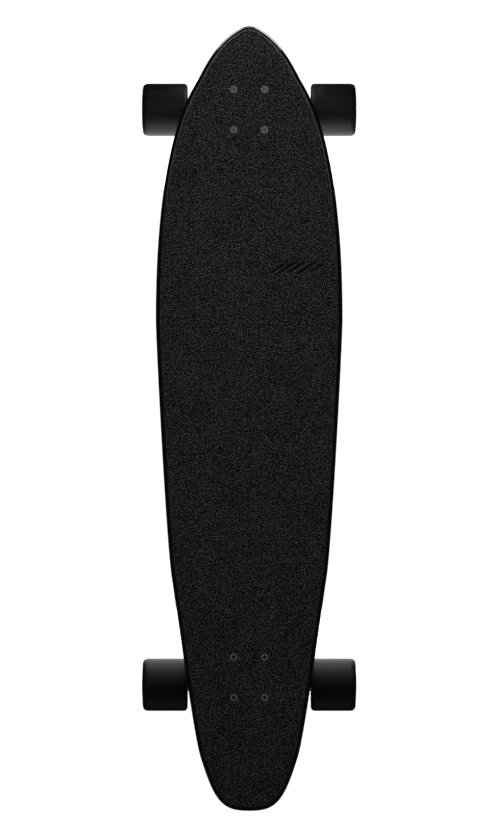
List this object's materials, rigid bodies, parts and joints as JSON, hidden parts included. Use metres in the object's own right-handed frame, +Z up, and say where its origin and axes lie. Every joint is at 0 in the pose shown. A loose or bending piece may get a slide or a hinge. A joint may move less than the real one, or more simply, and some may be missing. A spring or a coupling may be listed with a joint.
{
  "type": "electric skateboard",
  "caption": "Flat pintail electric longboard: gripped deck on reverse-kingpin trucks, hub-motor rear wheels and an under-deck battery tray.",
  "frame": {"origin": "on the floor under the middle of the deck's length and width", "axes": "+Y towards the nose, +X to the rider's right when facing the nose, +Z up"},
  "size_m": [0.2906, 1.05, 0.122],
  "materials": {
    "lacquered_wood": "black gloss lacquer over laminated maple",
    "grip": "coarse black grit sheet",
    "urethane": "satin black urethane",
    "painted_casting": "black powder coat over cast aluminium",
    "dark_steel": "dark oxide, lightly worn",
    "steel": "zinc plated and brushed",
    "aluminium": "dark anodised",
    "plastic": "fine-textured black nylon",
    "rubber": "matt black rubber",
    "bushing": "translucent dark red urethane",
    "stator": "laminated steel with copper windings",
    "battery": null,
    "button": "satin"
  },
  "bodies": {
    "board": {"deck": "lacquered_wood", "grip_tape": "grip", "front_bolt_1": "dark_steel", "front_bolt_2": "dark_steel", "front_bolt_3": "dark_steel", "front_bolt_4": "dark_steel", "rear_bolt_1": "dark_steel", "rear_bolt_2": "dark_steel", "rear_bolt_3": "dark_steel", "rear_bolt_4": "dark_steel", "front_riser_pad": "rubber", "front_baseplate": "painted_casting", "front_pivot_cup": "plastic", "front_kingpin": "dark_steel", "front_boardside_bushing": "bushing", "front_roadside_bushing": "bushing", "front_cup_washer": "steel", "front_kingpin_nut": "steel", "rear_riser_pad": "rubber", "rear_baseplate": "painted_casting", "rear_pivot_cup": "plastic", "rear_kingpin": "dark_steel", "rear_boardside_bushing": "bushing", "rear_roadside_bushing": "bushing", "rear_cup_washer": "steel", "rear_kingpin_nut": "steel", "enclosure": "plastic", "enclosure_gasket": "rubber", "battery_pack": "battery", "heat_sink": "aluminium", "speed_controller": "aluminium", "charge_port": "plastic", "left_motor_cable": "rubber", "right_motor_cable": "rubber"},
    "front_hanger": {"front_hanger": "painted_casting", "front_axle": "steel", "front_left_axle_nut": "steel", "front_right_axle_nut": "steel"},
    "rear_hanger": {"rear_hanger": "painted_casting", "rear_axle": "steel", "rear_left_stator": "stator", "rear_right_stator": "stator", "rear_left_axle_nut": "steel", "rear_right_axle_nut": "steel"},
    "front_left_wheel": {"front_left_tyre": "urethane", "front_left_core": "plastic", "front_left_bearing_inner": "steel", "front_left_bearing_outer": "steel"},
    "rear_left_wheel": {"rear_left_tyre": "urethane", "rear_left_rotor_can": "aluminium", "rear_left_motor_cover": "plastic"},
    "front_right_wheel": {"front_right_tyre": "urethane", "front_right_core": "plastic", "front_right_bearing_inner": "steel", "front_right_bearing_outer": "steel"},
    "rear_right_wheel": {"rear_right_tyre": "urethane", "rear_right_rotor_can": "aluminium", "rear_right_motor_cover": "plastic"},
    "power_button": {"power_button": "button"},
    "charge_port_cover": {"charge_port_cover": "rubber"}
  },
  "joints": [
    {"name": "front_steer", "type": "hinge", "parent": "board", "child": "front_hanger", "pos_m": [0, 0.3976, 0.0435], "axis": [0, 0.7071, 0.7071], "range_deg": [-20, 20], "stiffness_Nm_per_rad": 30, "deforming": ["front_boardside_bushing", "front_roadside_bushing"]},
    {"name": "rear_steer", "type": "hinge", "parent": "board", "child": "rear_hanger", "pos_m": [0, -0.3401, 0.0435], "axis": [0, -0.7071, 0.7071], "range_deg": [-20, 20], "stiffness_Nm_per_rad": 30, "deforming": ["rear_boardside_bushing", "rear_roadside_bushing", "left_motor_cable", "right_motor_cable"]},
    {"name": "front_left_spin", "type": "hinge", "parent": "front_hanger", "child": "front_left_wheel", "pos_m": [-0.1143, 0.4176, 0.0355], "axis": [1, 0, 0], "continuous": true},
    {"name": "front_right_spin", "type": "hinge", "parent": "front_hanger", "child": "front_right_wheel", "pos_m": [0.1143, 0.4176, 0.0355], "axis": [1, 0, 0], "continuous": true},
    {"name": "rear_left_spin", "type": "hinge", "parent": "rear_hanger", "child": "rear_left_wheel", "pos_m": [-0.1143, -0.3601, 0.0355], "axis": [1, 0, 0], "continuous": true},
    {"name": "rear_right_spin", "type": "hinge", "parent": "rear_hanger", "child": "rear_right_wheel", "pos_m": [0.1143, -0.3601, 0.0355], "axis": [1, 0, 0], "continuous": true},
    {"name": "power_button_press", "type": "slide", "parent": "board", "child": "power_button", "axis": [-1, 0, 0], "range_m": [0, 0.0012], "stiffness_N_per_m": 900, "springref_m": -0.0012},
    {"name": "charge_port_cover_open", "type": "hinge", "parent": "board", "child": "charge_port_cover", "pos_m": [0.0866, -0.19, 0.092], "axis": [0, 0, 1], "range_deg": [0, 120], "stiffness_Nm_per_rad": 0.01, "springref_deg": -20.05}
  ]
}
